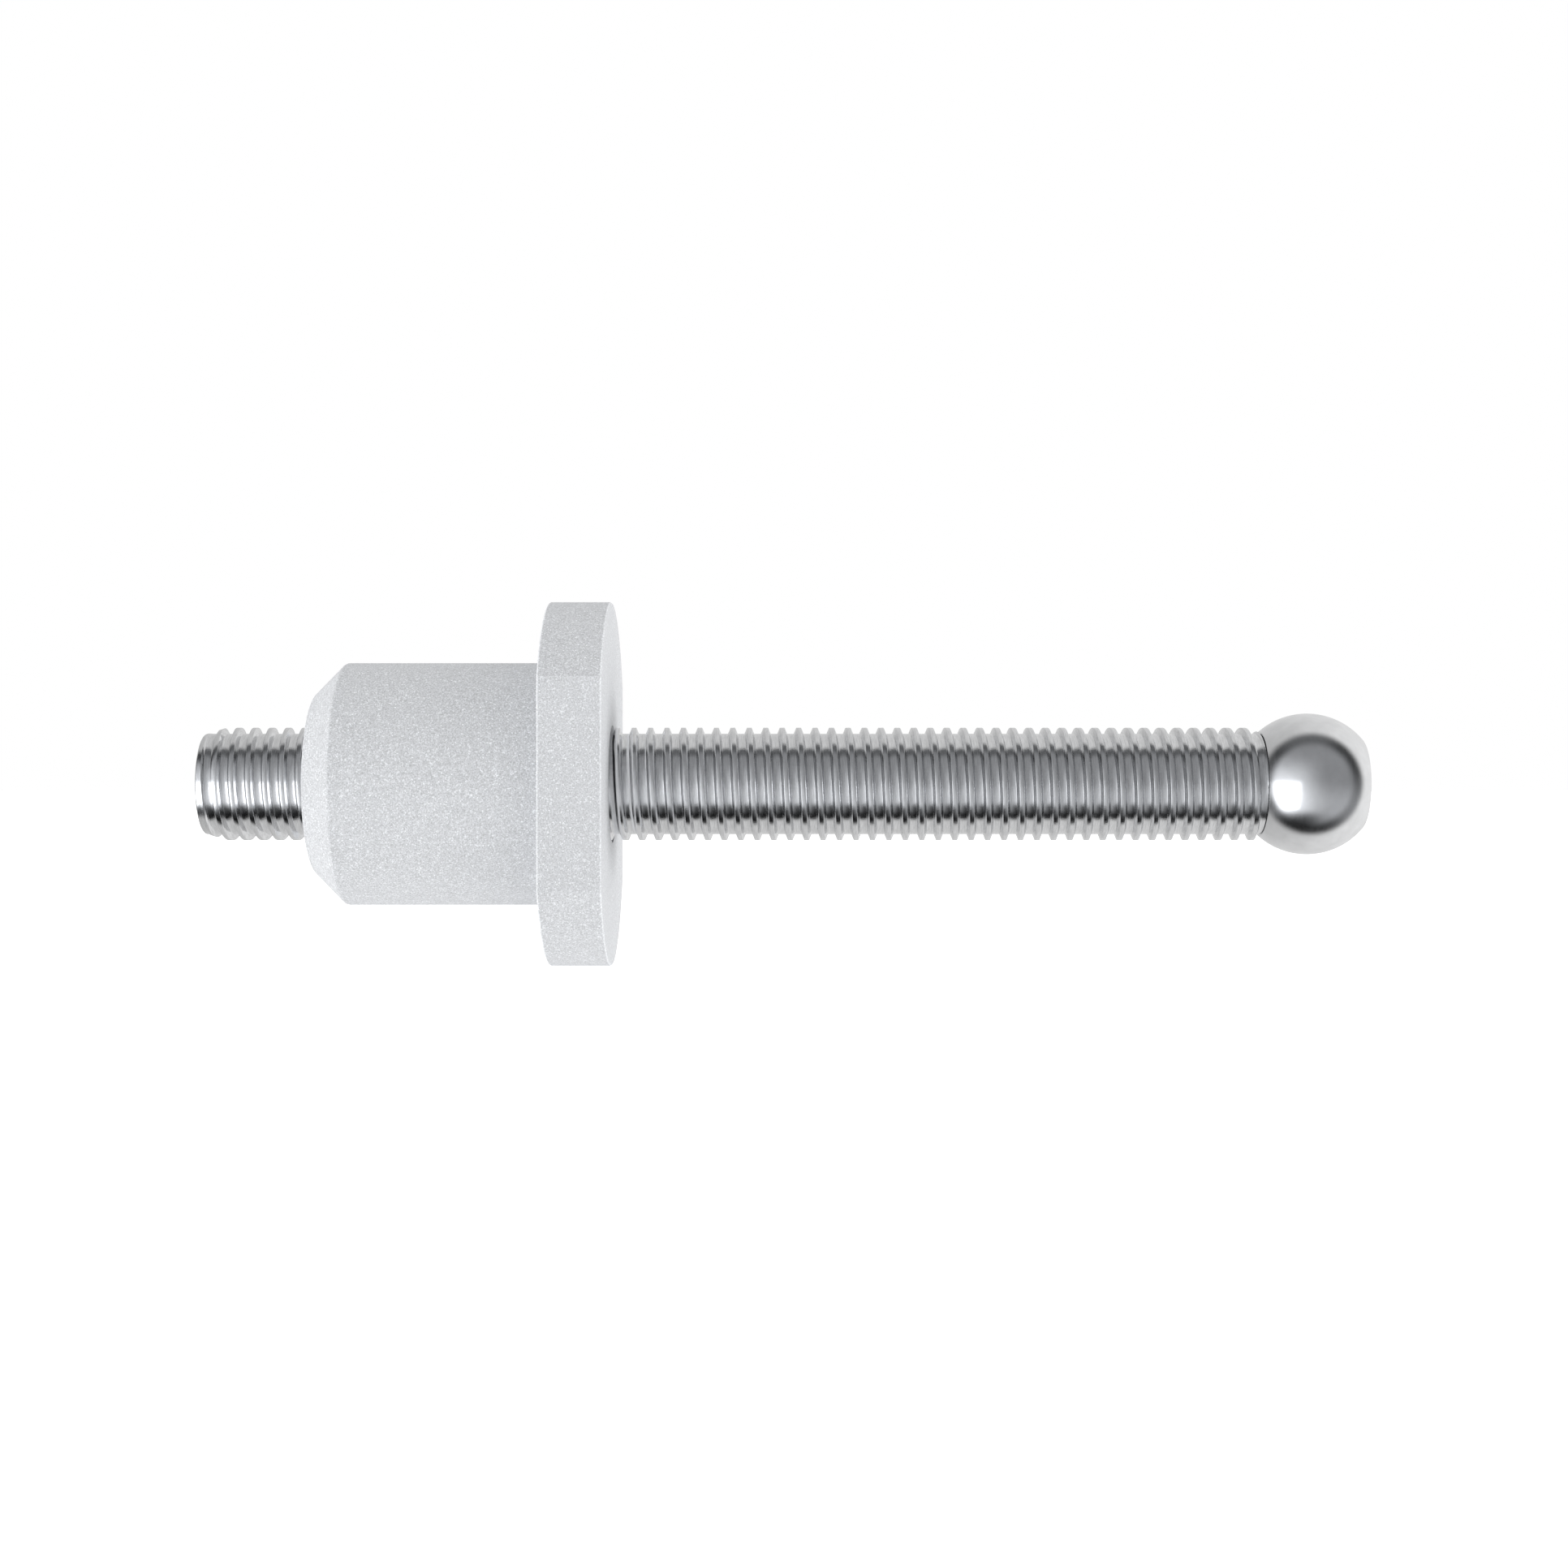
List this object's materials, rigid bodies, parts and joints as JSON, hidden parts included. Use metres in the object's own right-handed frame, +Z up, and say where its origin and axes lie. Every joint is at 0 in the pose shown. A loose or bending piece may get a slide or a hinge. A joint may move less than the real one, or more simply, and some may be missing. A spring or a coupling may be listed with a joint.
{
  "type": "ball-ended adjusting spindle with flanged bush",
  "caption": "Long threaded spindle that screws through a flanged plug bush with wrench flats and carries a polished ball, flat at its outer end, on the far end.",
  "frame": {"origin": "on the spindle's axis, in the plane of the flange's seat, where the plug meets the flange", "axes": "+X along the spindle towards the ball, the plug leaves its tube along +X and points along -X; +Y and -Y are the outward normals of the two wrench flats; +Z is up"},
  "size_m": [0.1229, 0.032, 0.0386],
  "materials": {
    "blasted_bush": "fine blasted, matt light grey",
    "bright_thread": "bright rolled thread",
    "polished_ball": "polished",
    "screw_steel": "plain machined"
  },
  "bodies": {
    "bush": {"flanged_bush": "blasted_bush"},
    "ball": {"ball_head": "polished_ball"},
    "spindle": {"threaded_spindle": "bright_thread", "ball_screw": "screw_steel"}
  },
  "joints": [
    {"name": "spindle_travel", "type": "slide", "parent": "bush", "child": "ball", "axis": [1, 0, 0], "range_m": [-0.06913, 0.0245]},
    {"name": "spindle_turn", "type": "hinge", "parent": "ball", "child": "spindle", "pos_m": [0.08035, 0, 0], "axis": [1, 0, 0], "range_deg": [-14220, 5040]}
  ],
  "couplings": [
    {"joint": "spindle_turn", "follows": "spindle_travel", "rad_per_m": 3590.4}
  ]
}
